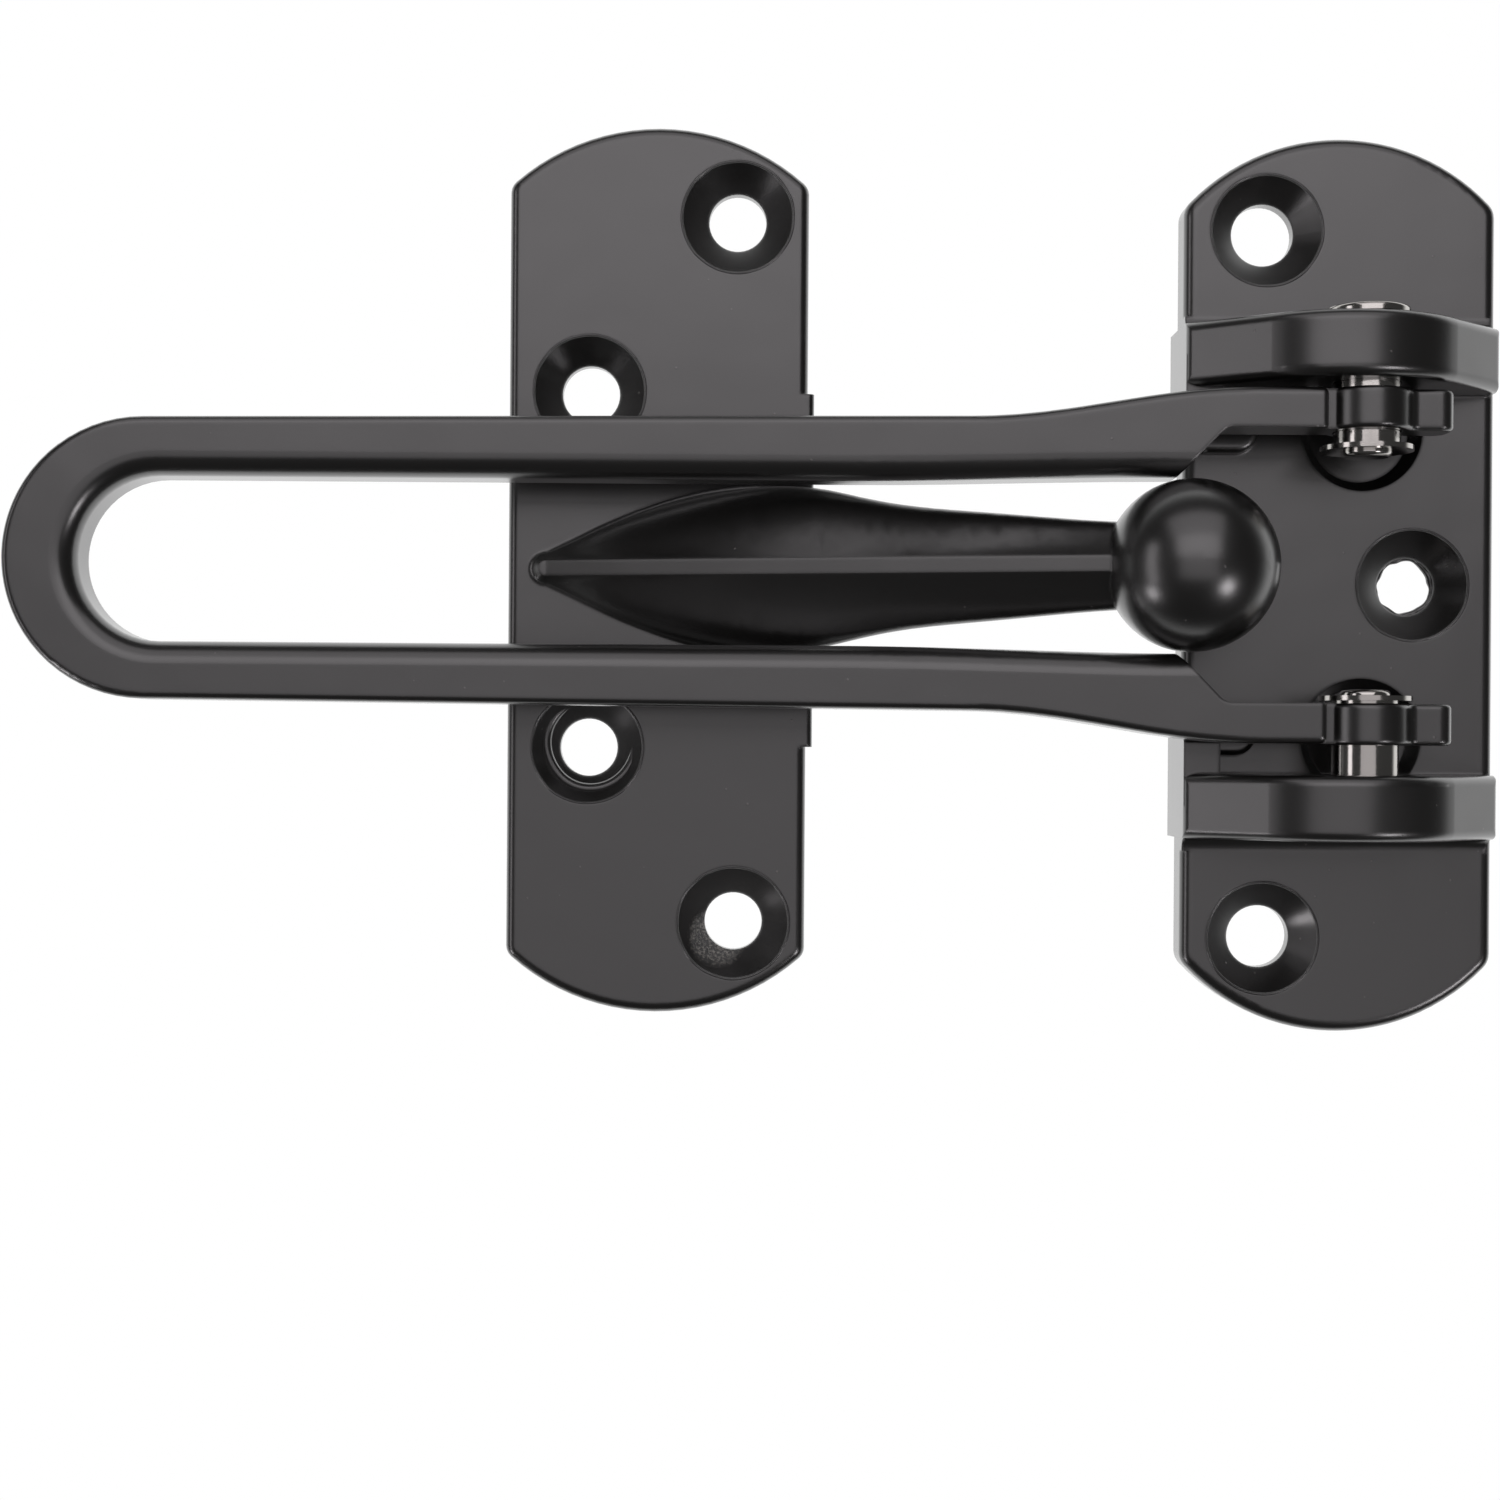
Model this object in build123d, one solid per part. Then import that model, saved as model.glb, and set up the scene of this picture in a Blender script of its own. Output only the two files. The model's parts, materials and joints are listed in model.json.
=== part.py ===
from build123d import *
import math
import os

os.makedirs("parts", exist_ok=True)

# Swing bar door guard, lying on its back with the bar closed over the ball.
# Z points away from the door and z = 0 is the mounting plane. X runs along the bar, from its
# loop end to the hinge, and the origin is the middle of the hinge plate's back.

# Both plates
plate_thickness = 3.5
hole_diameter = 5.0
sink_diameter = 9.7
sink_angle = 90.0

# Hinge plate
hinge_plate_width = 26.9
hinge_plate_length = 77.35
hinge_plate_end_rise = 6.1
hinge_plate_corner = 1.8
hinge_plate_edge = 1.0
hinge_end_hole_diameter = 5.4
hinge_end_hole_x = -6.4
hinge_end_hole_y = 30.6
hinge_mid_hole_x = 6.35

# Ball plate
plate_gap = 32.55
ball_plate_width = 25.85
ball_plate_length = 76.6
ball_plate_end_rise = 5.1
ball_plate_corner = 1.3
ball_plate_edge = 0.9
ball_outer_hole_x = 6.75
ball_outer_hole_y = 30.5
ball_inner_hole_x = -5.95
ball_inner_hole_y = 15.4
root_step = 0.55
root_step_half_length = 15.25

# The bar and the ball plate lie this far towards the ear at +Y
side_shift = 0.9

# Ears of the hinge plate
ear_inner_y = 16.4
ear_thickness = 5.5
ear_crest_height = 11.2
ear_crest_radius = 12.0
ear_crest_x = -0.7
ear_left_slope = 37.0
ear_right_slope = 45.0
ear_left_overhang = 0.6
ear_right_inset = 0.5
ear_edge = 0.9
ear_foot = 1.2
shoulder_height = 4.0
shoulder_length = 3.1
shoulder_reach = 3.1
rest_pad_height = 1.5
rest_pad_radius = 1.8
rest_pad_end_x = -7.3
rest_pad_y = 13.0

# Hinge pins
pin_x = 0.6
pin_height = 6.5
pin_diameter = 5.5
pin_fit = 0.05
pin_head_diameter = 7.0
pin_head_thickness = 0.65
pin_head_gap = 0.05
head_recess_diameter = 7.4
head_recess_depth = 0.8
tenon_diameter = 3.8
peen_diameter = 4.2
peen_height = 0.5
washer_diameter = 7.7
washer_thickness = 0.4
washer_y = 9.8
upper_pin_shift = 0.85

# Swing bar
bar_clearance = 0.25
bar_depth = 5.5
loop_end_x = -112.65
loop_end_thickness = 5.95
slot_half_width = 6.85
slot_half_width_at_ball = 7.3
slot_widening_x = -42.0
loop_half_width = 11.65
leg_half_width = 12.15
slot_mouth_x = -15.6
slot_mouth_length = 3.9
flare_start_x = -33.0
flare_end_x = -9.0
eye_arm_inner_y = 11.35
eye_arm_outer_y = 14.7
eye_inner_y = 11.35
eye_outer_y = 14.8
eye_radius = 3.75
eye_fit = 0.1
eye_arm_end_x = -3.3
eye_arm_drop = 1.15
eye_arm_end_round = 0.5
lobe_reach = 7.05
lobe_top = 1.6
lobe_bottom = 2.2
lobe_corner = 1.2
lobe_root_round = 0.9
slot_top_round = 1.9
bar_edge = 0.6
mouth_round = 1.5
eye_edge = 0.4

# Pockets that the cam lobes dip into
pocket_radius = 5.2
pocket_depth = 1.5
pocket_wall = 0.9
pocket_offset_x = 1.35
pocket_y = 13.3

# Ball and its arm
ball_x = -14.25
ball_height = 8.3
ball_radius = 7.2
ridge_width = 1.3
nose_inset = 3.35
nose_half_width = 1.5
nose_height = 0.9
root_half_width = 7.2
neck_root_half_width = 5.75
neck_flare = 6
neck_half_width = 3.2
neck_rise = 3.2
root_wide_height = 2.4
keel_start_height = 1.0
arm_foot = 0.5

# Worked out from the sizes above
ball_plate_x = -(hinge_plate_width + ball_plate_width) / 2 - plate_gap
ball_plate_right = ball_plate_x + ball_plate_width / 2
nose_x = ball_plate_x - ball_plate_width / 2 + nose_inset
ear_outer_y = ear_inner_y + ear_thickness
pin_z = plate_thickness + pin_height
bar_bottom = plate_thickness + shoulder_height + bar_clearance
bar_top = bar_bottom + bar_depth
ball_z = plate_thickness + ball_height


def plate(width, length, end_rise, corner, edge):
    """Flat plate with arched ends and rounded top edges."""
    half_width = width / 2
    half_length = length / 2
    side = half_length - end_rise
    outline = [
        Line((-half_width, -side), (-half_width, side)),
        ThreePointArc((-half_width, side), (0, half_length), (half_width, side)),
        Line((half_width, side), (half_width, -side)),
        ThreePointArc((half_width, -side), (0, -half_length), (-half_width, -side)),
    ]
    face = make_face(outline)
    face = fillet(face.vertices(), corner)
    blank = extrude(face, plate_thickness)
    return fillet(blank.edges().group_by(Axis.Z)[-1], edge)


def screw_hole(x, y, diameter):
    """Bore and countersink for one flat head screw."""
    upright = (Align.CENTER, Align.CENTER, Align.MIN)
    bore = Cylinder(diameter / 2, 3 * plate_thickness)
    sink_depth = (sink_diameter - diameter) / 2 / math.tan(math.radians(sink_angle / 2))
    sink = Cone(diameter / 2, sink_diameter / 2, sink_depth, align=upright)
    return Pos(x, y, 0) * (bore + Pos(0, 0, plate_thickness - sink_depth) * sink)


def along_y(face, start, end):
    """Solid of a face drawn in X and Z, from one Y to another."""
    return Pos(0, end, 0) * Rot(90, 0, 0) * extrude(face, end - start)


def ear():
    """Arched ear at +Y, with its foot, its shoulder block and the rest pad under the bar's leg."""
    left = -hinge_plate_width / 2
    left_end = left - ear_left_overhang
    right_end = hinge_plate_width / 2 - ear_right_inset
    crest_z = plate_thickness + ear_crest_height
    left_run, left_z = flank_start(ear_left_slope)
    right_run, right_z = flank_start(ear_right_slope)
    left_x = ear_crest_x - left_run
    right_x = ear_crest_x + right_run
    left_end_z = left_z - (left_x - left_end) * math.tan(math.radians(ear_left_slope))
    right_end_z = right_z - (right_end - right_x) * math.tan(math.radians(ear_right_slope))
    arch = [
        Line((left_end, 0), (left_end, left_end_z)),
        Line((left_end, left_end_z), (left_x, left_z)),
        ThreePointArc((left_x, left_z), (ear_crest_x, crest_z), (right_x, right_z)),
        Line((right_x, right_z), (right_end, right_end_z)),
        Line((right_end, right_end_z), (right_end, 0)),
        Line((right_end, 0), (left_end, 0)),
    ]
    body = along_y(make_face(arch), ear_inner_y, ear_outer_y)
    crest = body.edges().filter_by(GeomType.CIRCLE)
    ends = body.edges().filter_by(Axis.Y).filter_by_position(Axis.Z, plate_thickness, left_z - ear_edge)
    body = fillet(crest + ends, ear_edge)
    block = Box(shoulder_length, shoulder_reach + ear_thickness / 2, plate_thickness + shoulder_height,
                align=(Align.MIN, Align.MIN, Align.MIN))
    block = Pos(left_end, ear_inner_y - shoulder_reach, 0) * block
    block = fillet(block.edges().group_by(Axis.Z)[-1].group_by(Axis.Y)[0], rest_pad_height / 3)
    pad_length = rest_pad_end_x - left - shoulder_length / 2
    pad = SlotOverall(2 * pad_length, 2 * rest_pad_radius)
    pad = extrude(pad, plate_thickness + rest_pad_height)
    pad = fillet(pad.edges().group_by(Axis.Z)[-1], rest_pad_radius / 3)
    pad = Pos(rest_pad_end_x - pad_length, rest_pad_y, 0) * pad
    pad = split(pad, Plane.YZ.offset(left + shoulder_length / 2), keep=Keep.TOP)
    return body + ear_root() + block + pad


def flank_start(slope):
    """Run from the ear's crest to where its straight flank starts, and the height there."""
    angle = math.radians(slope)
    drop = ear_crest_radius * (1 - math.cos(angle))
    return ear_crest_radius * math.sin(angle), plate_thickness + ear_crest_height - drop


def ear_root():
    """Hollow curve between the ear's outer face and the plate."""
    sunk = plate_thickness - hinge_plate_edge
    inside_y = ear_outer_y - ear_foot
    foot_y = ear_outer_y + ear_foot
    head_z = plate_thickness + ear_foot
    bend = ear_foot * (1 - math.sqrt(0.5))
    profile = [
        Line((inside_y, sunk), (inside_y, head_z)),
        Line((inside_y, head_z), (ear_outer_y, head_z)),
        ThreePointArc((ear_outer_y, head_z), (ear_outer_y + bend, plate_thickness + bend),
                      (foot_y, plate_thickness)),
        Line((foot_y, plate_thickness), (foot_y, sunk)),
        Line((foot_y, sunk), (inside_y, sunk)),
    ]
    left = -hinge_plate_width / 2
    length = hinge_plate_width - ear_right_inset
    across = Plane(origin=(left, 0, 0), x_dir=(0, 1, 0), z_dir=(1, 0, 0))
    return across * extrude(make_face(profile), length)


def lobe_pocket():
    """Dished blind pocket at +Y, cut short by the ear's inner face."""
    floor_radius = pocket_radius - pocket_wall
    cone = Cone(floor_radius, pocket_radius, pocket_depth,
                align=(Align.CENTER, Align.CENTER, Align.MAX))
    pocket = Pos(pin_x + pocket_offset_x, pocket_y, plate_thickness) * cone
    return split(pocket, Plane.XZ.offset(-ear_inner_y), keep=Keep.TOP)


def hinge_plate():
    body = plate(hinge_plate_width, hinge_plate_length, hinge_plate_end_rise,
                 hinge_plate_corner, hinge_plate_edge)
    pocket = lobe_pocket()
    body -= pocket
    body -= mirror(pocket, Plane.XZ)
    upper_ear = ear()
    body += upper_ear
    body += mirror(upper_ear, Plane.XZ)
    pin_bore = Cylinder(pin_diameter / 2 + pin_fit, 3 * ear_outer_y)
    body -= Pos(pin_x, 0, pin_z) * Rot(90, 0, 0) * pin_bore
    recess = along_y(Circle(head_recess_diameter / 2), ear_outer_y - head_recess_depth, 2 * ear_outer_y)
    recess = Pos(pin_x, 0, pin_z) * recess
    body -= recess
    body -= mirror(recess, Plane.XZ)
    for side in (-1, 1):
        body -= screw_hole(hinge_end_hole_x, side * hinge_end_hole_y, hinge_end_hole_diameter)
    body -= screw_hole(hinge_mid_hole_x, 0, hole_diameter)
    return body


def arm_section(x, half_width, wide_z, ridge_z, keel_z):
    """Rounded triangle across the arm, with a narrow flat ridge on top."""
    ridge = ridge_width / 2
    rise = ridge_z - wide_z
    drop = wide_z - keel_z
    run = half_width - ridge
    flank_middle = (ridge + 0.4 * run, ridge_z - 0.45 * rise)
    flank_foot = (half_width, wide_z + 0.4 * rise)
    belly_side = (half_width, wide_z - 0.55 * drop)
    belly_middle = (0.55 * half_width, keel_z)

    def left(point):
        return (-point[0], point[1])

    flank = [(ridge, ridge_z), flank_middle, flank_foot, (half_width, wide_z)]
    belly = [(half_width, wide_z), belly_side, belly_middle, (0, keel_z)]
    edges = [
        Line((-ridge, ridge_z), (ridge, ridge_z)),
        Bezier(*flank),
        Bezier(*belly),
        Bezier(*[left(point) for point in reversed(belly)]),
        Bezier(*[left(point) for point in reversed(flank)]),
    ]
    return Plane(origin=(x, 0, 0), x_dir=(0, 1, 0), z_dir=(1, 0, 0)) * make_face(edges)


def ridge_height(x):
    """Straight ridge from the nose up to the ball."""
    share = (x - nose_x) / (ball_x - nose_x)
    start = plate_thickness + nose_height
    return start + share * (ball_z + neck_rise - start)


def blend(start, end, share):
    return start + (end - start) * share


def arm():
    """Prow shaped arm that rises from the plate and carries the ball."""
    sections = []
    for share in (0, 0.16, 0.36, 0.6, 0.82):
        x = blend(nose_x, ball_plate_right, share)
        half_width = blend(nose_half_width, root_half_width, 2 * share - share**2)
        wide_z = plate_thickness + blend(-nose_height / 2, root_wide_height, share**2)
        sections.append(arm_section(x, half_width, wide_z, ridge_height(x), keel_start_height))
    for share in (0.05, 0.2, 0.4, 0.6, 0.8, 1):
        x = blend(ball_plate_right, ball_x, share)
        shoulder = (root_half_width - neck_root_half_width) * (1 - share)**neck_flare
        half_width = blend(neck_root_half_width, neck_half_width, share) + shoulder
        wide_z = blend(plate_thickness + root_wide_height, ball_z, share)
        keel_z = blend(keel_start_height, ball_z - neck_rise, share)
        sections.append(arm_section(x, half_width, wide_z, ridge_height(x), keel_z))
    body = loft(Sketch() + sections)
    across = Plane(origin=(nose_x, 0, 0), x_dir=(0, 1, 0), z_dir=(1, 0, 0))
    one_side = across * Rectangle(2 * nose_half_width, 2 * ball_z, align=(Align.MIN, Align.CENTER))
    nose = revolve(sections[0] & one_side, Axis((nose_x, 0, 0), (0, 0, 1)), 180)
    return body + nose


def ball_plate():
    """One casting: plate, prow shaped arm and ball."""
    body = plate(ball_plate_width, ball_plate_length, ball_plate_end_rise,
                 ball_plate_corner, ball_plate_edge)
    step = Box(ball_plate_corner + root_step, 2 * root_step_half_length, plate_thickness,
               align=(Align.MAX, Align.CENTER, Align.MIN))
    step = fillet(step.edges().group_by(Axis.X)[-1].group_by(Axis.Z)[-1], root_step)
    body += Pos(ball_plate_width / 2 + root_step, 0, 0) * step
    for side in (-1, 1):
        body -= screw_hole(ball_outer_hole_x, side * ball_outer_hole_y, hole_diameter)
        body -= screw_hole(ball_inner_hole_x, side * ball_inner_hole_y, hole_diameter)
    body = Pos(ball_plate_x, 0, 0) * body
    body += arm()
    body = fillet(foot_edges(body), arm_foot)
    body += Pos(ball_x, 0, ball_z) * Sphere(ball_radius)
    return Pos(0, side_shift, 0) * body


def foot_edges(body):
    """Where the arm's flanks and nose meet the top of the plate."""
    edges = body.edges().filter_by_position(Axis.Z, plate_thickness - 0.01, plate_thickness + 0.01)
    nose_tip = nose_x - nose_half_width
    edges = edges.filter_by_position(Axis.X, nose_tip - arm_foot, ball_plate_right - arm_foot)
    return edges.filter_by_position(Axis.Y, -root_half_width, root_half_width)


def bar_outline():
    """Loop, legs, flares and eye arms seen from above, as one closed outline."""
    loop_x = loop_end_x + loop_half_width
    slot_end_x = loop_end_x + loop_end_thickness
    slot_arc_x = slot_end_x + slot_half_width
    mouth_x = slot_mouth_x + slot_mouth_length
    half = [
        (pin_x, eye_arm_outer_y),
        (flare_end_x, eye_arm_outer_y),
        (flare_start_x, leg_half_width),
        (loop_x, loop_half_width),
    ]
    inner_half = [
        (slot_arc_x, slot_half_width),
        (slot_widening_x, slot_half_width),
        (slot_mouth_x, slot_half_width_at_ball),
        (mouth_x, eye_arm_inner_y),
        (pin_x, eye_arm_inner_y),
    ]

    def mirrored(point):
        return (point[0], -point[1])

    edges = []
    for place in (lambda point: point, mirrored):
        eye, flare_end, flare_start, loop_start = [place(point) for point in half]
        edges.append(Line(eye, flare_end))
        edges.append(Spline(flare_end, flare_start, tangents=[(-1, 0), (-1, 0)]))
        edges.append(Line(flare_start, loop_start))
        slot_start, widening, mouth, mouth_end, eye_inside = [place(point) for point in inner_half]
        edges.append(Line(slot_start, widening))
        edges.append(Spline(widening, mouth, tangents=[(1, 0), (1, 0)]))
        edges.append(Line(mouth, mouth_end))
        edges.append(Line(mouth_end, eye_inside))
        edges.append(Line(eye_inside, eye))
    edges.append(ThreePointArc(half[-1], (loop_end_x, 0), mirrored(half[-1])))
    edges.append(ThreePointArc(inner_half[0], (slot_end_x, 0), mirrored(inner_half[0])))
    return make_face(edges)


def eye():
    """Barrel round the pin at +Y, with the cam lobe on its far side."""
    barrel = Circle(eye_radius)
    lobe = Rectangle(lobe_reach, lobe_top + lobe_bottom, align=(Align.MIN, Align.MIN))
    lobe = Pos(0, -lobe_bottom) * lobe
    lobe = fillet(lobe.vertices().group_by(Axis.X)[-1], lobe_corner)
    profile = barrel + lobe
    roots = [corner for corner in profile.vertices() if eye_radius - 1 < corner.X < eye_radius + 0.01]
    profile = fillet(roots, lobe_root_round)
    body = along_y(profile, eye_inner_y, eye_outer_y)
    body = fillet(body.edges().group_by(Axis.Y)[0] + body.edges().group_by(Axis.Y)[-1], eye_edge)
    return Pos(pin_x, 0, pin_z) * body


def swing_bar():
    """One casting: loop, two legs, flared arms, eyes and cam lobes."""
    body = Pos(0, 0, bar_bottom) * extrude(bar_outline(), bar_depth)
    inside = [edge for edge in body.edges().group_by(Axis.Z)[-1] if is_slot_edge(edge @ 0.5)]
    body = fillet(inside, slot_top_round)
    mouth_end_x = slot_mouth_x + slot_mouth_length
    corners = body.edges().filter_by(Axis.Z).filter_by_position(
        Axis.X, mouth_end_x - bar_edge, mouth_end_x + bar_edge)
    body = fillet(corners, mouth_round)
    rims = body.edges().group_by(Axis.Z)[-1] + body.edges().group_by(Axis.Z)[0]
    outside = [edge for edge in rims if is_rim_edge(edge @ 0.5)]
    body = fillet(outside, bar_edge)
    low_end = Box(-2 * eye_arm_end_x, 4 * eye_outer_y, 2 * eye_arm_drop,
                  align=(Align.MIN, Align.CENTER, Align.CENTER))
    body -= Pos(eye_arm_end_x, 0, bar_top) * low_end
    arm_ends = body.edges().group_by(Axis.Z)[-1].filter_by(Axis.Y).filter_by_position(
        Axis.X, eye_arm_end_x - 0.01, eye_arm_end_x + 0.01)
    body = fillet(arm_ends, eye_arm_end_round)
    upper_eye = eye()
    body += upper_eye
    body += mirror(upper_eye, Plane.XZ)
    pin_bore = Cylinder(pin_diameter / 2 + eye_fit, 3 * eye_outer_y)
    body -= Pos(pin_x, 0, pin_z) * Rot(90, 0, 0) * pin_bore
    return Pos(0, side_shift, 0) * body


def is_slot_edge(point):
    """Whether a point of the bar's rim lies beside the slot."""
    loop_middle_x = loop_end_x + loop_end_thickness / 2
    leg_middle_y = (slot_half_width + loop_half_width) / 2
    return loop_middle_x < point.X < slot_mouth_x and abs(point.Y) < leg_middle_y


def is_rim_edge(point):
    """Whether a point of the bar's rims lies on the outside, above or below."""
    above_slot = point.Z > bar_top - bar_edge and abs(point.Y) < leg_half_width - bar_edge
    return point.X < pin_x - bar_edge and (not above_slot or point.X < loop_end_x + bar_edge)


def pin(shift):
    """Hinge pin at +Y, slid outwards by a shift: head, shaft, and a tenon peened over its washer."""
    start = washer_y + washer_thickness
    head_y = ear_outer_y - head_recess_depth + pin_head_gap
    shaft = along_y(Circle(pin_diameter / 2), start, head_y + pin_head_thickness / 2)
    tenon = along_y(Circle(tenon_diameter / 2), washer_y, start)
    head = along_y(Circle(pin_head_diameter / 2), head_y, head_y + pin_head_thickness)
    head = fillet(head.edges().group_by(Axis.Y)[-1], pin_head_thickness / 2)
    peen = along_y(Circle(peen_diameter / 2), washer_y - peen_height, washer_y)
    peen = fillet(peen.edges().group_by(Axis.Y)[0], peen_height * 0.8)
    return Pos(pin_x, shift, pin_z) * (shaft + tenon + head + peen)


def washer(shift):
    """Thin disc under the peened end of the pin at +Y, slid outwards with it."""
    ring = Circle(washer_diameter / 2) - Circle(tenon_diameter / 2 + pin_fit)
    return Pos(pin_x, shift, pin_z) * along_y(ring, washer_y, washer_y + washer_thickness)


if __name__ == "__main__":
    pieces = {
        "hinge_plate": hinge_plate(),
        "ball_plate": ball_plate(),
        "swing_bar": swing_bar(),
        "upper_pin": pin(upper_pin_shift),
        "lower_pin": mirror(pin(0), Plane.XZ),
        "upper_washer": washer(upper_pin_shift),
        "lower_washer": mirror(washer(0), Plane.XZ),
    }
    for name, piece in pieces.items():
        print(name, piece.is_valid, round(piece.volume, 1), piece.bounding_box())
        export_step(piece, f"parts/{name}.step")
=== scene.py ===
"""Looks of a swing bar door guard: satin black castings and bright pins on a pale table."""

import json
import math

import bmesh
import bpy
from mathutils import Matrix, Vector, noise


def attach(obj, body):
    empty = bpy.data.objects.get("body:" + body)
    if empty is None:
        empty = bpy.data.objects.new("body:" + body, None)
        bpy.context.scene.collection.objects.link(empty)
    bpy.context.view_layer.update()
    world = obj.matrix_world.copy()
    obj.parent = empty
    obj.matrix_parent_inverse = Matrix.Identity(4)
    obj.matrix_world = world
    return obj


bl_info = {
    "name": "Swing bar door guard",
    "version": (1, 0, 0),
    "blender": (4, 5, 0),
    "location": "View3D > Sidebar > Door guard",
    "description": "Paints the door guard's castings, pins and washers and lights them on a table",
    "category": "Object",
}

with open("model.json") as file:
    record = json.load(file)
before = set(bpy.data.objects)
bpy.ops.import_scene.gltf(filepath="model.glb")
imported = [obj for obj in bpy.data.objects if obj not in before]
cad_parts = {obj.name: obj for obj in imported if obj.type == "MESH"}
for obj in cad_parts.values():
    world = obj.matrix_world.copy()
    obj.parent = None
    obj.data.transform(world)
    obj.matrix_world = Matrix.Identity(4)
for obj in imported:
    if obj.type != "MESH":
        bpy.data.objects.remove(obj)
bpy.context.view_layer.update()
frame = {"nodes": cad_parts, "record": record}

MM = 0.001
SIDES = (1, -1)
CASTINGS = ("hinge_plate", "ball_plate", "swing_bar")
PINS = ("upper_pin", "lower_pin")
WASHERS = ("upper_washer", "lower_washer")
MIDDLE_SCREW = "hinge_plate_middle_screw"
PITTED_ROW = "ball_plate_outer_screws"
POOLED_ROW = "ball_plate_inner_screws"
HOLE_ROWS = {"hinge_plate": ("hinge_plate_end_screws", MIDDLE_SCREW),
             "ball_plate": (PITTED_ROW, POOLED_ROW)}
PAINT = "satin_black_paint"

# Middle of the rough spot, from the foot of its screw hole's axis on the mounting plane
ROUGH_SPOT = Vector((-1.8, -1.7, 1.0)) * MM
# Noise levels between which bare zinc shows in the pits, coloured light grey as a painted glint, and the
# most that shows
ZINC_GLINT_FROM = 0.48
ZINC_GLINT_FULL = 0.6
ZINC_GLINT_MOST = 0.8
# A dust speck's core and soft edge, as shares of the distance between specks
SPECK_CORE = 0.02
SPECK_EDGE = 0.05
PAINT_ROUGHNESS = (0.27, 0.33)
PLATING_ROUGHNESS = (0.08, 0.2)
BEVEL_SAMPLES = 8

BEAD_SIDES = 8
BEAD_STEPS = 96
# The noise starts from the clock unless it is given a seed
STRAY_SEED = 7
# How much further the flash and the pool stray than a lip, and over how much of its length
FLASH_STRAY = 4
FLASH_STRAY_LENGTH = 0.5
POOL_STRAY = 2
POOL_STRAY_LENGTH = 2
# The pool's middle lies under the cone of its sink by this share of its thickness
POOL_SUNK = 0.4
# Where the pool lies off its hole's middle: towards +X and +Y, in shares of its lean
POOL_LEAN = Vector((0.5, 0.7, 0.0))

# The light table's reflection dims between these slants, down to the least strength
BEAM_STEEP = 0.7
BEAM_GRAZING = 0.92
BEAM_LEAST = 0.1
TABLE_SIZE = 1.5
LAMP_DISTANCE = 1.0
WORLD_STRENGTH = 0.05

# Soft boxes: name, direction from the guard, width and height in metres, and radiance. An X part
# in the direction rolls a box, so the two overhead have none.
LAMPS = (
    ("ceiling", (0.0, -0.13, 1.0), 0.95, 0.52, 0.54),
    ("ceiling_back", (0.0, 0.41, 1.0), 1.05, 0.50, 1.25),
    ("back_wall", (0.0, 1.0, 0.75), 1.2, 0.62, 0.7),
    ("left_wall", (-1.0, 0.0, 0.5), 0.9, 0.25, 1.45),
    ("left_bulb", (-0.79, -0.57, 0.25), 0.22, 0.22, 5.0),
    ("right_bulb", (0.60, -0.465, 0.645), 0.24, 0.24, 6.6),
)


def linear(hex_colour):
    """Linear colour of an sRGB hex value, by the sRGB standard's own curve."""
    channels = [int(hex_colour[i:i + 2], 16) / 255 for i in (1, 3, 5)]
    return tuple(c / 12.92 if c <= 0.04045 else ((c + 0.055) / 1.055) ** 2.4 for c in channels)


def colour_property(name, description, hex_colour):
    """Colour that a user can set, with an sRGB hex value as its default."""
    return bpy.props.FloatVectorProperty(name=name, description=description, subtype="COLOR", size=3,
                                         min=0.0, max=1.0, default=linear(hex_colour))


def length_property(name, description, default, low=0.0, high=1.0):
    """Length in metres that a user can set."""
    return bpy.props.FloatProperty(name=name, description=description, default=default, min=low,
                                   max=high, subtype="DISTANCE", unit="LENGTH", precision=5)


class PaintSettings(bpy.types.PropertyGroup):
    """Colours and grain of the paint and the plating."""

    paint: colour_property("Paint", "Satin black paint on the castings", "#131211")
    # Painted glint: a light grey base colour that stands in for the reflection of the bare zinc in the
    # pits
    zinc_glint_colour: colour_property("Bare metal", "Zinc where the paint is thin", "#A5A19A")
    dust: colour_property("Dust", "Dust specks caught in the paint", "#4A4745")
    plating: colour_property("Plating", "Bright nickel on the pins and washers", "#C6C3BF")
    soft_edge: length_property("Soft edge", "Radius to which paint rounds an edge", 0.45 * MM)
    swell: length_property("Swell", "Width of one slow wave in the casting's skin", 7.0 * MM)
    swell_depth: length_property("Swell depth", "Height of the slow waves", 0.09 * MM)
    orange_peel: length_property("Orange peel", "Width of one ripple in the paint", 1.1 * MM)
    peel_depth: length_property("Peel depth", "Height of the ripples", 0.02 * MM)
    speck: length_property("Speck", "Distance between dust specks under the paint", 2.6 * MM)
    speck_depth: length_property("Speck depth", "Height of a dust speck", 0.03 * MM)
    pit: length_property("Pit", "Width of one pit in the rough spot", 0.3 * MM)
    pit_depth: length_property("Pit depth", "Depth of the pits", 0.25 * MM)
    spot_core: length_property("Spot core", "Radius of the fully pitted middle", 1.7 * MM)
    spot_edge: length_property("Spot edge", "Radius at which the pits have faded out", 3.0 * MM)
    cloud: length_property("Cloud", "Width of one duller patch of paint", 16.667 * MM)
    streak: length_property("Streak", "Width of one turning streak on a pin", 0.12 * MM)
    streak_depth: length_property("Streak depth", "Height of the turning streaks", 0.01 * MM)


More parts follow.
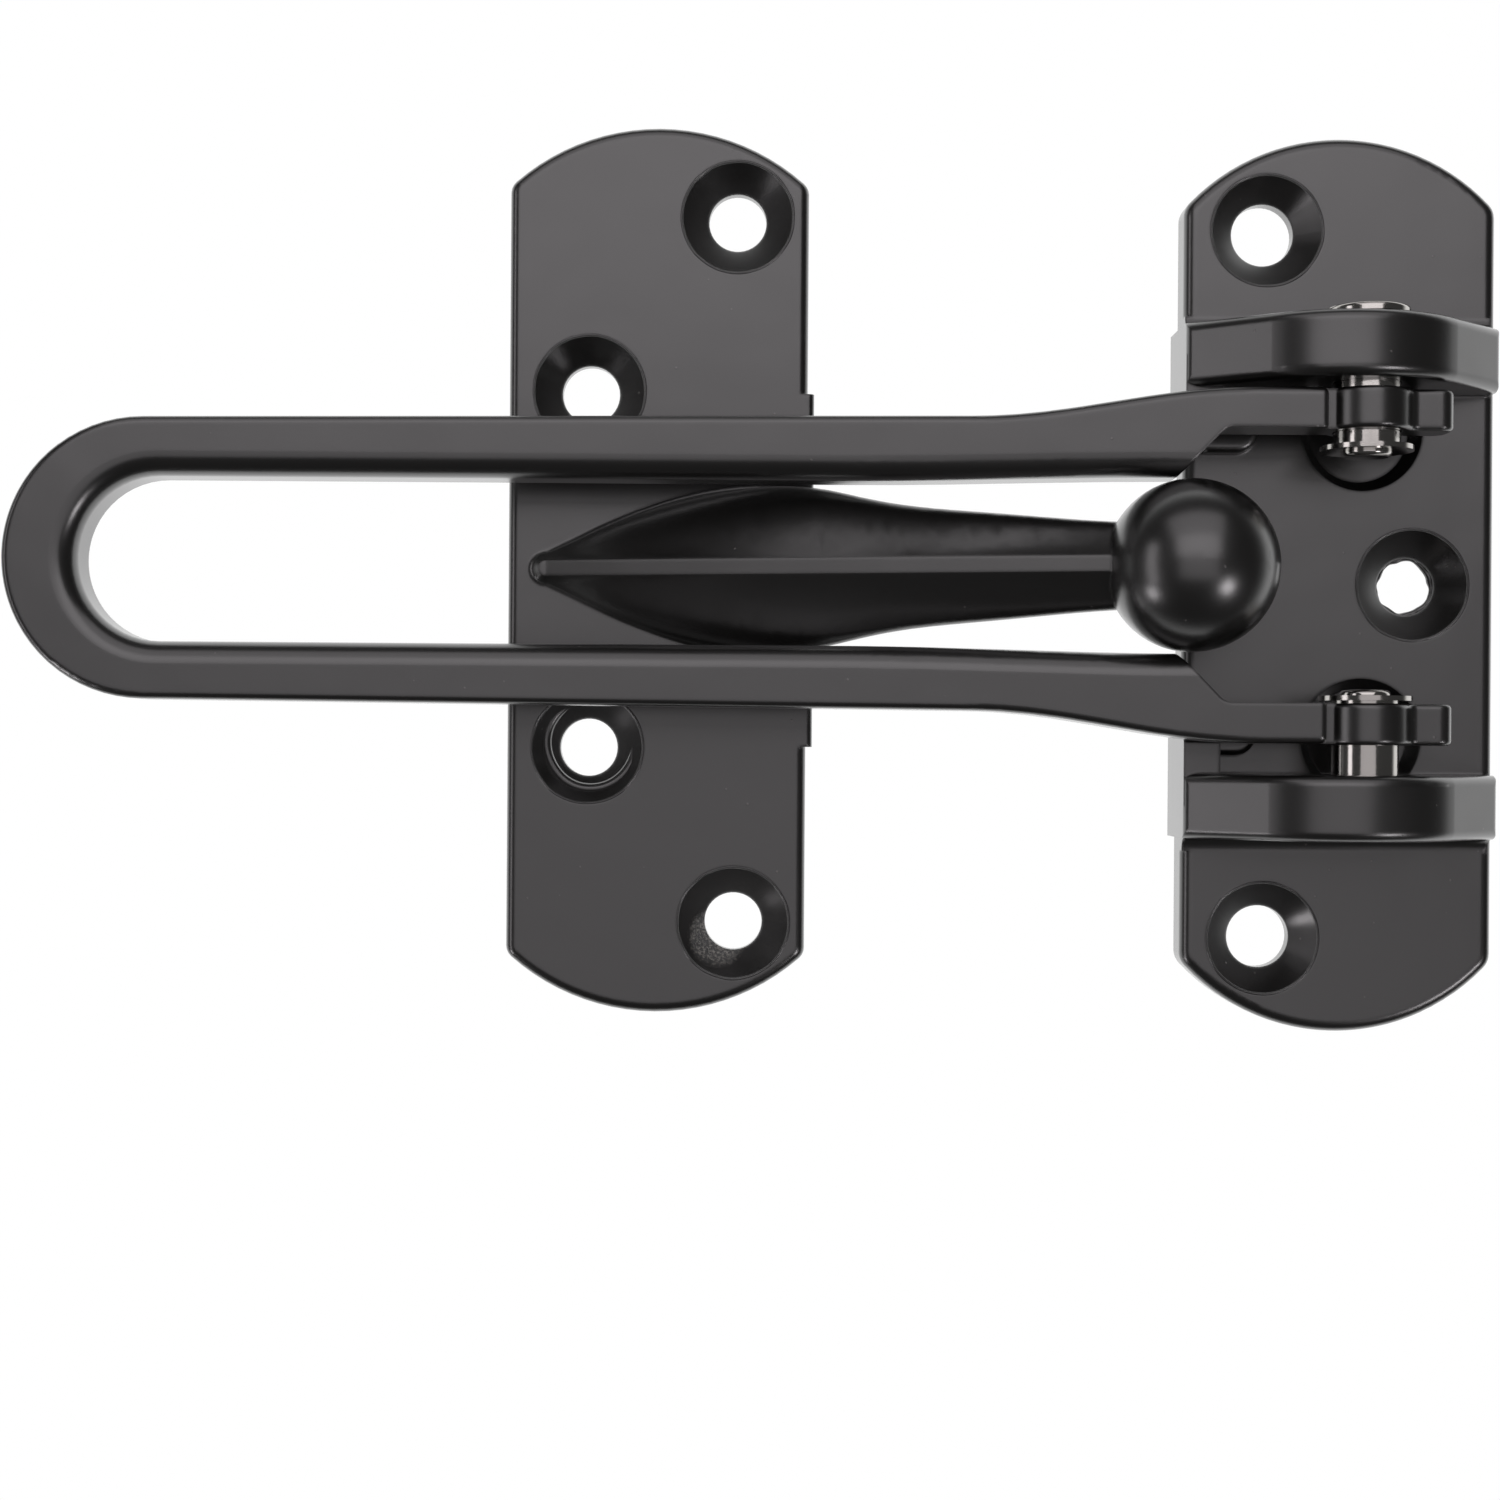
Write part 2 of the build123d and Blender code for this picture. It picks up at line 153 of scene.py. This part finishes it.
class LipSettings(bpy.types.PropertyGroup):
    """Raised paint round the screw holes."""

    sink_radius: length_property("Sink radius", "Radius of a countersink at the plate's top", 4.85 * MM)
    lip_thickness: length_property("Lip thickness", "Thickness of the bead of paint", 0.26 * MM)
    lip_height: length_property("Lip height", "How far the bead stands above the plate", 0.06 * MM)
    flash_thickness: length_property("Flash thickness", "Thickness of the flash in a bore", 0.55 * MM)
    pool_radius: length_property("Pool radius", "Radius of the paint that ran into a sink", 3.9 * MM)
    pool_thickness: length_property("Pool thickness", "Thickness of that paint", 0.9 * MM)
    pool_lean: length_property("Pool lean", "How far that paint lies off the middle", 0.45 * MM)
    wobble: length_property("Wobble", "How far a bead strays from its circle", 0.05 * MM)
    wobble_width: length_property("Wobble width", "Length of one stray along the bead", 1.6 * MM)


class StageSettings(bpy.types.PropertyGroup):
    """Camera, table and lamps."""

    camera_height: length_property("Camera height", "Lens above the mounting plane", 203.5 * MM)
    camera_x: length_property("Camera X", "Lens along the bar", -50.8 * MM, -1.0)
    camera_y: length_property("Camera Y", "Lens along the plates", -14.65 * MM, -1.0)
    view_width: length_property("View width", "Width of the picture at the plates' tops", 129.65 * MM)
    plate_top: length_property("Plate top", "Height of the plates' tops", 3.5 * MM)
    camera_turn: bpy.props.FloatProperty(name="Camera turn", description="Roll of the camera",
                                         default=math.radians(0.4), subtype="ANGLE", unit="ROTATION")
    lamp: colour_property("Lamp", "Nearly white light of the lamps", "#FFFAFD")
    table: colour_property("Table", "Pale table under the guard", "#FFFFFF")


def add_node(tree, kind, settings=None, links=None):
    """One node with its settings and links. A value given for an input is set on it, and a link
    names its input or gives its number."""
    node = tree.nodes.new(kind)
    for key, value in (settings or {}).items():
        if hasattr(node, key) and not key[0].isupper():
            setattr(node, key, value)
        else:
            node.inputs[key].default_value = value
    for key, source in (links or {}).items():
        tree.links.new(source, node.inputs[key])
    return node


def new_material(name):
    """Empty node material and its node tree."""
    material = bpy.data.materials.new(name)
    material.use_nodes = True
    material.node_tree.nodes.clear()
    return material, material.node_tree


def mount_named(name):
    """One of the record's mounts."""
    return next(mount for mount in frame["record"]["mounts"] if mount["name"] == name)


def hole_centres(mount_name):
    """Centres of the holes of one of the record's screw mounts, on the mounting plane."""
    mount = mount_named(mount_name)
    x, y, _ = mount["pos_m"]
    half = mount["dims"].get("spacing_y_mm", 0.0) / 2 * MM
    return [Vector((x, y + side * half, 0.0)) for side in (SIDES if half else SIDES[:1])]


def satin_black_paint(settings):
    """Satin black baked paint on a zinc die casting: dark, slightly rippled, with soft wide highlights,
    a few dust specks and one pitted spot where the zinc shows through, its glint painted in as a light
    grey base colour."""
    material, tree = new_material(PAINT)
    place = add_node(tree, "ShaderNodeTexCoord").outputs["Object"]

    specks = add_node(tree, "ShaderNodeTexVoronoi", {"Scale": 1 / settings.speck}, {"Vector": place})
    speck_mask = add_node(tree, "ShaderNodeMapRange",
                          {"From Min": SPECK_CORE, "From Max": SPECK_EDGE, "To Min": 1.0,
                           "To Max": 0.0},
                          {"Value": specks.outputs["Distance"]})
    dusty = add_node(tree, "ShaderNodeMixRGB", {"Color1": (*settings.paint, 1.0),
                                                "Color2": (*settings.dust, 1.0)},
                     {"Fac": speck_mask.outputs["Result"]})

    away = add_node(tree, "ShaderNodeVectorMath", {"operation": "DISTANCE"}, {0: place})
    away.inputs[1].default_value = hole_centres(PITTED_ROW)[-1] + ROUGH_SPOT
    spot_mask = add_node(tree, "ShaderNodeMapRange",
                         {"From Min": settings.spot_core, "From Max": settings.spot_edge,
                          "To Min": 1.0, "To Max": 0.0},
                         {"Value": away.outputs["Value"]})
    pits = add_node(tree, "ShaderNodeTexNoise", {"Scale": 1 / settings.pit, "Detail": 4.0,
                                                 "Roughness": 0.7}, {"Vector": place})
    pit_height = add_node(tree, "ShaderNodeMath", {"operation": "MULTIPLY"},
                          {0: pits.outputs["Fac"], 1: spot_mask.outputs["Result"]})
    # Painted glint mask: where the bare zinc in the pits gets its light grey colour in place of a real
    # reflection
    zinc_glint_level = add_node(tree, "ShaderNodeMapRange",
                    {"From Min": ZINC_GLINT_FROM, "From Max": ZINC_GLINT_FULL, "To Min": 0.0,
                     "To Max": ZINC_GLINT_MOST},
                    {"Value": pits.outputs["Fac"]})
    zinc_glint_mask = add_node(tree, "ShaderNodeMath", {"operation": "MULTIPLY"},
                         {0: zinc_glint_level.outputs["Result"], 1: spot_mask.outputs["Result"]})
    colour = add_node(tree, "ShaderNodeMixRGB", {"Color2": (*settings.zinc_glint_colour, 1.0)},
                      {"Fac": zinc_glint_mask.outputs["Value"], "Color1": dusty.outputs["Color"]})

    cloud = add_node(tree, "ShaderNodeTexNoise", {"Scale": 1 / settings.cloud, "Detail": 4.0},
                     {"Vector": place})
    rough = add_node(tree, "ShaderNodeMapRange",
                     {"To Min": PAINT_ROUGHNESS[0], "To Max": PAINT_ROUGHNESS[1]},
                     {"Value": cloud.outputs["Fac"]})

    soft_edge = add_node(tree, "ShaderNodeBevel", {"samples": BEVEL_SAMPLES,
                                                   "Radius": settings.soft_edge})
    swell = add_node(tree, "ShaderNodeTexNoise", {"Scale": 1 / settings.swell, "Detail": 1.0},
                     {"Vector": place})
    wavy = add_node(tree, "ShaderNodeBump", {"Strength": 1.0, "Distance": settings.swell_depth},
                    {"Height": swell.outputs["Fac"], "Normal": soft_edge.outputs["Normal"]})
    peel = add_node(tree, "ShaderNodeTexNoise", {"Scale": 1 / settings.orange_peel, "Detail": 3.0},
                    {"Vector": place})
    ripple = add_node(tree, "ShaderNodeBump", {"Strength": 0.1, "Distance": settings.peel_depth},
                      {"Height": peel.outputs["Fac"], "Normal": wavy.outputs["Normal"]})
    speckled = add_node(tree, "ShaderNodeBump", {"Strength": 0.5, "Distance": settings.speck_depth},
                        {"Height": speck_mask.outputs["Result"], "Normal": ripple.outputs["Normal"]})
    pitted = add_node(tree, "ShaderNodeBump", {"Strength": 1.0, "Distance": settings.pit_depth},
                      {"Height": pit_height.outputs["Value"], "Normal": speckled.outputs["Normal"]})

    shader = add_node(tree, "ShaderNodeBsdfPrincipled",
                      {"IOR": 1.8, "Coat Weight": 1.0, "Coat IOR": 1.5, "Coat Roughness": 0.24},
                      {"Base Color": colour.outputs["Color"],
                       "Roughness": rough.outputs["Result"], "Normal": pitted.outputs["Normal"]})
    add_node(tree, "ShaderNodeOutputMaterial", links={"Surface": shader.outputs["BSDF"]})
    return material


def nickel_plate(settings):
    """Nickel plated steel, turned: bright and mirror like, with fine streaks in the plating."""
    material, tree = new_material("nickel_plated_steel")
    place = add_node(tree, "ShaderNodeTexCoord").outputs["Object"]
    streaks = add_node(tree, "ShaderNodeTexNoise", {"Scale": 1 / settings.streak, "Detail": 2.0},
                       {"Vector": place})
    rough = add_node(tree, "ShaderNodeMapRange",
                     {"To Min": PLATING_ROUGHNESS[0], "To Max": PLATING_ROUGHNESS[1]},
                     {"Value": streaks.outputs["Fac"]})
    bump = add_node(tree, "ShaderNodeBump", {"Strength": 0.2, "Distance": settings.streak_depth},
                    {"Height": streaks.outputs["Fac"]})
    shader = add_node(tree, "ShaderNodeBsdfPrincipled",
                      {"Base Color": (*settings.plating, 1.0), "Metallic": 1.0},
                      {"Roughness": rough.outputs["Result"], "Normal": bump.outputs["Normal"]})
    add_node(tree, "ShaderNodeOutputMaterial", links={"Surface": shader.outputs["BSDF"]})
    return material


def dress(node, material):
    """Gives a CAD node one material."""
    for slot in frame["nodes"][node].material_slots:
        slot.material = material


class DOORGUARD_OT_castings(bpy.types.Operator):
    """Paint the two plates and the swing bar"""

    bl_idname = "doorguard.castings"
    bl_label = "Paint castings"

    def execute(self, context):
        material = satin_black_paint(context.scene.doorguard_paint)
        for node in CASTINGS:
            dress(node, material)
        return {"FINISHED"}


class DOORGUARD_OT_pins(bpy.types.Operator):
    """Plate the hinge pins and their washers"""

    bl_idname = "doorguard.pins"
    bl_label = "Plate pins and washers"

    def execute(self, context):
        material = nickel_plate(context.scene.doorguard_paint)
        for node in PINS + WASHERS:
            dress(node, material)
        return {"FINISHED"}


def bead(centre, radius, thickness, wobble, wobble_width):
    """Round bead on a circle about an upright axis, straying a little from it as paint does."""
    origin = Vector((0.0, 0.0, 0.0))
    up = Vector((0.0, 0.0, 1.0))
    bm = bmesh.new()
    section = bmesh.ops.create_circle(bm, segments=BEAD_SIDES, radius=thickness / 2)["verts"]
    bmesh.ops.rotate(bm, verts=section, cent=origin, matrix=Matrix.Rotation(math.pi / 2, 3, "X"))
    bmesh.ops.translate(bm, verts=section, vec=(radius, 0.0, 0.0))
    bmesh.ops.spin(bm, geom=section + bm.edges[:], cent=origin, axis=up, angle=2 * math.pi,
                   steps=BEAD_STEPS, use_merge=True)
    bmesh.ops.translate(bm, verts=bm.verts, vec=centre)
    for vert in bm.verts:
        out = Vector((vert.co.x - centre.x, vert.co.y - centre.y, 0.0)).normalized()
        stray = noise.noise_vector(vert.co / wobble_width)
        vert.co += wobble * (stray.x * out + stray.y * up)
    bmesh.ops.recalc_face_normals(bm, faces=bm.faces)
    return bm


def lifted(point, height):
    """A point of the mounting plane, lifted to a height."""
    return point + Vector((0.0, 0.0, height))


def lip_beads(mounts, sizes, plate_top):
    """A bead of paint round each countersink of some rows of screw holes."""
    height = plate_top + sizes.lip_height - sizes.lip_thickness / 2
    return [bead(lifted(centre, height), sizes.sink_radius, sizes.lip_thickness, sizes.wobble,
                 sizes.wobble_width)
            for mount in mounts for centre in hole_centres(mount)]


def bore_flash(sizes):
    """Ragged flash of the casting inside the middle screw's bore."""
    radius = mount_named(MIDDLE_SCREW)["dims"]["r_mm"] * MM
    centre = lifted(hole_centres(MIDDLE_SCREW)[0], sizes.flash_thickness)
    return bead(centre, radius, sizes.flash_thickness, FLASH_STRAY * sizes.wobble,
                FLASH_STRAY_LENGTH * sizes.wobble_width)


def paint_pool(sizes, plate_top):
    """Paint that ran down the 90 degree cone of a sink and set there."""
    cone_height = plate_top - (sizes.sink_radius - sizes.pool_radius)
    height = cone_height - POOL_SUNK * sizes.pool_thickness
    centre = lifted(hole_centres(POOLED_ROW)[-1] + POOL_LEAN * sizes.pool_lean, height)
    return bead(centre, sizes.pool_radius, sizes.pool_thickness, POOL_STRAY * sizes.wobble,
                POOL_STRAY_LENGTH * sizes.wobble_width)


def painted_piece(name, beads, body, material):
    """One mesh piece of several beads, in the paint's material slot, riding on a body."""
    whole = bmesh.new()
    mesh = bpy.data.meshes.new(name)
    for bm in beads:
        bm.to_mesh(mesh)
        bm.free()
        whole.from_mesh(mesh)
    for face in whole.faces:
        face.smooth = True
    whole.to_mesh(mesh)
    whole.free()
    mesh.materials.append(material)
    piece = bpy.data.objects.new(name, mesh)
    bpy.context.scene.collection.objects.link(piece)
    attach(piece, body)


class DOORGUARD_OT_paint_lips(bpy.types.Operator):
    """Add the paint round and in the countersinks and the flash in the middle bore"""

    bl_idname = "doorguard.paint_lips"
    bl_label = "Add paint lips"

    def execute(self, context):
        noise.seed_set(STRAY_SEED)
        sizes = context.scene.doorguard_lips
        plate_top = context.scene.doorguard_stage.plate_top
        material = bpy.data.materials[PAINT]
        for plate, mounts in HOLE_ROWS.items():
            painted_piece(plate + "_paint_lips", lip_beads(mounts, sizes, plate_top), "plates", material)
        painted_piece("middle_bore_flash", [bore_flash(sizes)], "plates", material)
        painted_piece("ball_plate_paint_pool", [paint_pool(sizes, plate_top)], "plates", material)
        return {"FINISHED"}


def table_material(settings):
    """Opal acrylic light table: pure white to the camera, and in reflections white from above and
    dimmer towards grazing angles, as a lit panel is. For all other light it is a matt sheet that
    takes the guard's shadow."""
    material, tree = new_material("opal_acrylic_light_table")
    path = add_node(tree, "ShaderNodeLightPath")
    slant = add_node(tree, "ShaderNodeLayerWeight", {"Blend": 0.5})
    beam = add_node(tree, "ShaderNodeMapRange",
                    {"From Min": BEAM_STEEP, "From Max": BEAM_GRAZING, "To Min": 1.0,
                     "To Max": BEAM_LEAST},
                    {"Value": slant.outputs["Facing"]})
    strength = add_node(tree, "ShaderNodeMath", {"operation": "MAXIMUM"},
                        {0: path.outputs["Is Camera Ray"], 1: beam.outputs["Result"]})
    in_metal_or_glass = add_node(tree, "ShaderNodeMath", {"operation": "MAXIMUM"},
                                 {0: path.outputs["Is Glossy Ray"],
                                  1: path.outputs["Is Transmission Ray"]})
    seen = add_node(tree, "ShaderNodeMath", {"operation": "MAXIMUM"},
                    {0: path.outputs["Is Camera Ray"], 1: in_metal_or_glass.outputs["Value"]})
    matt = add_node(tree, "ShaderNodeBsdfDiffuse", {"Color": (*settings.table, 1.0)})
    glow = add_node(tree, "ShaderNodeEmission", {"Color": (*settings.table, 1.0)},
                    {"Strength": strength.outputs["Value"]})
    mix = add_node(tree, "ShaderNodeMixShader",
                   links={"Fac": seen.outputs["Value"], 1: matt.outputs["BSDF"],
                          2: glow.outputs["Emission"]})
    add_node(tree, "ShaderNodeOutputMaterial", links={"Surface": mix.outputs["Shader"]})
    return material


def add_table(scene, settings):
    """Table in the mounting plane."""
    bm = bmesh.new()
    bmesh.ops.create_grid(bm, x_segments=1, y_segments=1, size=TABLE_SIZE)
    mesh = bpy.data.meshes.new("table")
    bm.to_mesh(mesh)
    bm.free()
    mesh.materials.append(table_material(settings))
    table = bpy.data.objects.new("table", mesh)
    scene.collection.objects.link(table)


def add_camera(scene, settings):
    """Camera that looks straight down on the guard."""
    optics = bpy.data.cameras.new("camera")
    distance = settings.camera_height - settings.plate_top
    optics.sensor_width = 36.0
    optics.sensor_fit = "HORIZONTAL"
    optics.lens = optics.sensor_width * distance / settings.view_width
    optics.clip_start = 0.01
    camera = bpy.data.objects.new("camera", optics)
    scene.collection.objects.link(camera)
    camera.location = (settings.camera_x, settings.camera_y, settings.camera_height)
    camera.rotation_euler = (0.0, 0.0, settings.camera_turn)
    scene.camera = camera


def add_soft_box(name, target, towards, width, height, radiance, colour):
    """Soft box at the lamps' distance from a point, in the given direction, facing it."""
    light = bpy.data.lights.new(name, "AREA")
    light.shape = "RECTANGLE"
    light.size = width
    light.size_y = height
    light.energy = radiance * math.pi * width * height
    light.color = colour
    lamp = bpy.data.objects.new(name, light)
    bpy.context.scene.collection.objects.link(lamp)
    lamp.location = target + LAMP_DISTANCE * towards.normalized()
    lamp.rotation_euler = (-towards).to_track_quat("-Z", "Y").to_euler()


def add_world(scene):
    """Faint white light from all round."""
    world = bpy.data.worlds.new("white_studio")
    world.use_nodes = True
    background = world.node_tree.nodes["Background"]
    background.inputs["Color"].default_value = (1.0, 1.0, 1.0, 1.0)
    background.inputs["Strength"].default_value = WORLD_STRENGTH
    scene.world = world


class DOORGUARD_OT_stage(bpy.types.Operator):
    """Set up the table, the camera, the lamps and the world"""

    bl_idname = "doorguard.stage"
    bl_label = "Set up stage"

    def execute(self, context):
        scene = context.scene
        settings = scene.doorguard_stage
        add_table(scene, settings)
        add_camera(scene, settings)
        middle = Vector((settings.camera_x, 0.0, 0.0))
        for name, towards, width, height, radiance in LAMPS:
            add_soft_box(name, middle, Vector(towards), width, height, radiance, settings.lamp)
        add_world(scene)
        scene.view_settings.view_transform = "Standard"
        return {"FINISHED"}


OPERATORS = (DOORGUARD_OT_castings, DOORGUARD_OT_pins, DOORGUARD_OT_paint_lips, DOORGUARD_OT_stage)


class DOORGUARD_PT_panel(bpy.types.Panel):
    """Lists the door guard's operators in the sidebar"""

    bl_idname = "DOORGUARD_PT_panel"
    bl_label = "Door guard"
    bl_space_type = "VIEW_3D"
    bl_region_type = "UI"
    bl_category = "Door guard"

    def draw(self, context):
        for operator in OPERATORS:
            self.layout.operator(operator.bl_idname)


CLASSES = (PaintSettings, LipSettings, StageSettings) + OPERATORS + (DOORGUARD_PT_panel,)


def register():
    """Registers the classes and their settings on the scene."""
    for cls in CLASSES:
        bpy.utils.register_class(cls)
    bpy.types.Scene.doorguard_paint = bpy.props.PointerProperty(type=PaintSettings)
    bpy.types.Scene.doorguard_lips = bpy.props.PointerProperty(type=LipSettings)
    bpy.types.Scene.doorguard_stage = bpy.props.PointerProperty(type=StageSettings)


def unregister():
    """Takes the settings and the classes away again."""
    del bpy.types.Scene.doorguard_stage
    del bpy.types.Scene.doorguard_lips
    del bpy.types.Scene.doorguard_paint
    for cls in reversed(CLASSES):
        bpy.utils.unregister_class(cls)


def main():
    """Paints and lights the guard."""
    register()
    bpy.ops.doorguard.castings()
    bpy.ops.doorguard.pins()
    bpy.ops.doorguard.paint_lips()
    bpy.ops.doorguard.stage()


if __name__ == "__main__":
    main()
